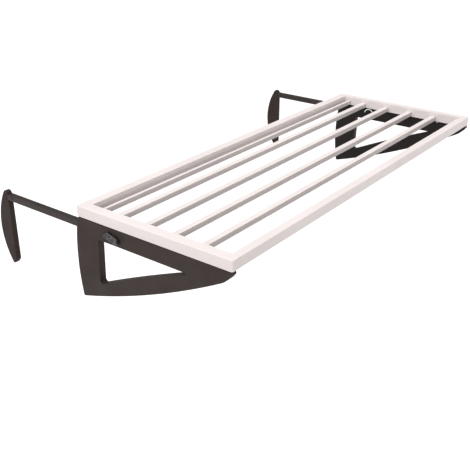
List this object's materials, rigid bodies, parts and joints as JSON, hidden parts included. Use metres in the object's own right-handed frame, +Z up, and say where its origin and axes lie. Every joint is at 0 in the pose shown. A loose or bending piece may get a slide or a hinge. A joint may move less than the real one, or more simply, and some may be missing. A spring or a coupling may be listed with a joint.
{
  "type": "parapet drying rack",
  "caption": "Slatted drying rack that hangs on a wall top by two sliding hook arms, with brackets that fold flat under its frame.",
  "frame": {"origin": "midway between the two arms, on the brackets' back contact plane, level with the arms' undersides", "axes": "+X along the frame to the right, +Y towards the parapet, +Z up"},
  "size_m": [1.0256, 0.6235, 0.1956],
  "materials": {
    "white_plastic": "smooth satin white",
    "brown_plastic": "moulded brown-charcoal, fine texture",
    "knob_plastic": "moulded near-black brown, satin",
    "brown_coated_steel": "brown-charcoal powder coat",
    "zinc_steel": "zinc plated",
    "brass": "turned"
  },
  "bodies": {
    "frame": {"front_rail": "white_plastic", "back_rail": "white_plastic", "left_end_rail": "white_plastic", "right_end_rail": "white_plastic", "rear_drying_bar": "white_plastic", "drying_bar_1": "white_plastic", "drying_bar_2": "white_plastic", "drying_bar_3": "white_plastic", "drying_bar_4": "white_plastic", "left_front_hinge_lug": "brown_plastic", "left_front_hinge_pin": "zinc_steel", "left_front_hinge_screw_1": "zinc_steel", "left_front_hinge_screw_2": "zinc_steel", "left_rear_hinge_lug": "brown_plastic", "left_rear_hinge_pin": "zinc_steel", "left_rear_hinge_screw_1": "zinc_steel", "left_rear_hinge_screw_2": "zinc_steel", "right_front_hinge_lug": "brown_plastic", "right_front_hinge_pin": "zinc_steel", "right_front_hinge_screw_1": "zinc_steel", "right_front_hinge_screw_2": "zinc_steel", "right_rear_hinge_lug": "brown_plastic", "right_rear_hinge_pin": "zinc_steel", "right_rear_hinge_screw_1": "zinc_steel", "right_rear_hinge_screw_2": "zinc_steel"},
    "left_bracket": {"left_bracket": "brown_plastic", "left_clamp_insert": "brass", "left_boss_clip": "zinc_steel"},
    "left_arm": {"left_arm_tube": "brown_coated_steel", "left_arm_end_plug": "knob_plastic", "left_hook": "brown_plastic", "left_hook_rivet": "brown_coated_steel"},
    "left_clamp_pad": {"left_clamp_pad": "brass"},
    "left_knob": {"left_clamp_knob": "knob_plastic", "left_clamp_stud": "zinc_steel"},
    "right_bracket": {"right_bracket": "brown_plastic", "right_clamp_insert": "brass", "right_boss_clip": "zinc_steel"},
    "right_arm": {"right_arm_tube": "brown_coated_steel", "right_arm_end_plug": "knob_plastic", "right_hook": "brown_plastic", "right_hook_rivet": "brown_coated_steel"},
    "right_clamp_pad": {"right_clamp_pad": "brass"},
    "right_knob": {"right_clamp_knob": "knob_plastic", "right_clamp_stud": "zinc_steel"}
  },
  "joints": [
    {"name": "left_bracket_fold", "type": "hinge", "parent": "frame", "child": "left_bracket", "pos_m": [-0.482, -0.2, 0.0168], "axis": [0, -1, 0], "range_deg": [0, 90]},
    {"name": "left_arm_slide", "type": "slide", "parent": "left_bracket", "child": "left_arm", "axis": [0, 1, 0], "range_m": [-0.15, 0.02]},
    {"name": "left_clamp_travel", "type": "slide", "parent": "left_bracket", "child": "left_clamp_pad", "axis": [-1, 0, 0], "range_m": [0, 0.0012]},
    {"name": "left_knob_turn", "type": "hinge", "parent": "left_clamp_pad", "child": "left_knob", "pos_m": [-0.502, -0.105, 0.00635], "axis": [-1, 0, 0], "range_deg": [0, 540]},
    {"name": "right_bracket_fold", "type": "hinge", "parent": "frame", "child": "right_bracket", "pos_m": [0.482, -0.2, 0.0168], "axis": [0, 1, 0], "range_deg": [0, 90]},
    {"name": "right_arm_slide", "type": "slide", "parent": "right_bracket", "child": "right_arm", "axis": [0, 1, 0], "range_m": [-0.15, 0.02]},
    {"name": "right_clamp_travel", "type": "slide", "parent": "right_bracket", "child": "right_clamp_pad", "axis": [1, 0, 0], "range_m": [0, 0.0012]},
    {"name": "right_knob_turn", "type": "hinge", "parent": "right_clamp_pad", "child": "right_knob", "pos_m": [0.502, -0.105, 0.00635], "axis": [1, 0, 0], "range_deg": [0, 540]}
  ],
  "couplings": [
    {"joint": "left_clamp_travel", "follows": "left_knob_turn", "m_per_rad": 0.00012732},
    {"joint": "right_clamp_travel", "follows": "right_knob_turn", "m_per_rad": 0.00012732}
  ]
}
